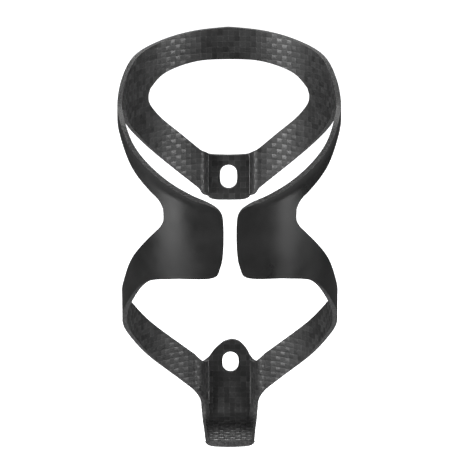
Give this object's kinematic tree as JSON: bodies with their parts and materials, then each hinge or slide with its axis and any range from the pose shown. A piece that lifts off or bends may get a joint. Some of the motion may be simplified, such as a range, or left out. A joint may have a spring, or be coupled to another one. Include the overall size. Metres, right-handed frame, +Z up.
{
  "type": "water bottle cage",
  "caption": "Moulded carbon-fibre bottle cage: a rear loop and arms on slotted mount pads, a short shelf, and wings that spring open around the bottle.",
  "frame": {"origin": "on the bicycle frame's face (the back plane of both mount pads), halfway between the two M5 bolts, which are 64 mm apart", "axes": "+Z up along the bottle, +Y from the bottle towards the bicycle frame, +X to the right seen from the open front"},
  "size_m": [0.0732, 0.0762, 0.1389],
  "materials": {
    "carbon_weave": "plain-weave carbon fibre laminate, matte resin",
    "carbon_matte": "smooth matte carbon fibre laminate"
  },
  "bodies": {
    "root": {"rear_loop": "carbon_weave", "left_upper_arm": "carbon_weave", "right_upper_arm": "carbon_weave", "upper_mount_pad": "carbon_weave", "lower_mount_pad": "carbon_weave", "bottle_shelf": "carbon_weave", "left_lower_arm": "carbon_weave", "right_lower_arm": "carbon_weave"},
    "left_wing": {"left_upper_strap": "carbon_matte", "left_grip_pad": "carbon_matte", "left_lower_strap": "carbon_matte"},
    "right_wing": {"right_upper_strap": "carbon_matte", "right_grip_pad": "carbon_matte", "right_lower_strap": "carbon_matte"}
  },
  "joints": [
    {"name": "left_wing_flex", "type": "hinge", "parent": "root", "child": "left_wing", "pos_m": [-0.0353, -0.0395, 0], "axis": [0, 0, -1], "range_deg": [-2, 8], "stiffness_Nm_per_rad": 3},
    {"name": "right_wing_flex", "type": "hinge", "parent": "root", "child": "right_wing", "pos_m": [0.0353, -0.0395, 0], "axis": [0, 0, 1], "range_deg": [-2, 8], "stiffness_Nm_per_rad": 3}
  ]
}
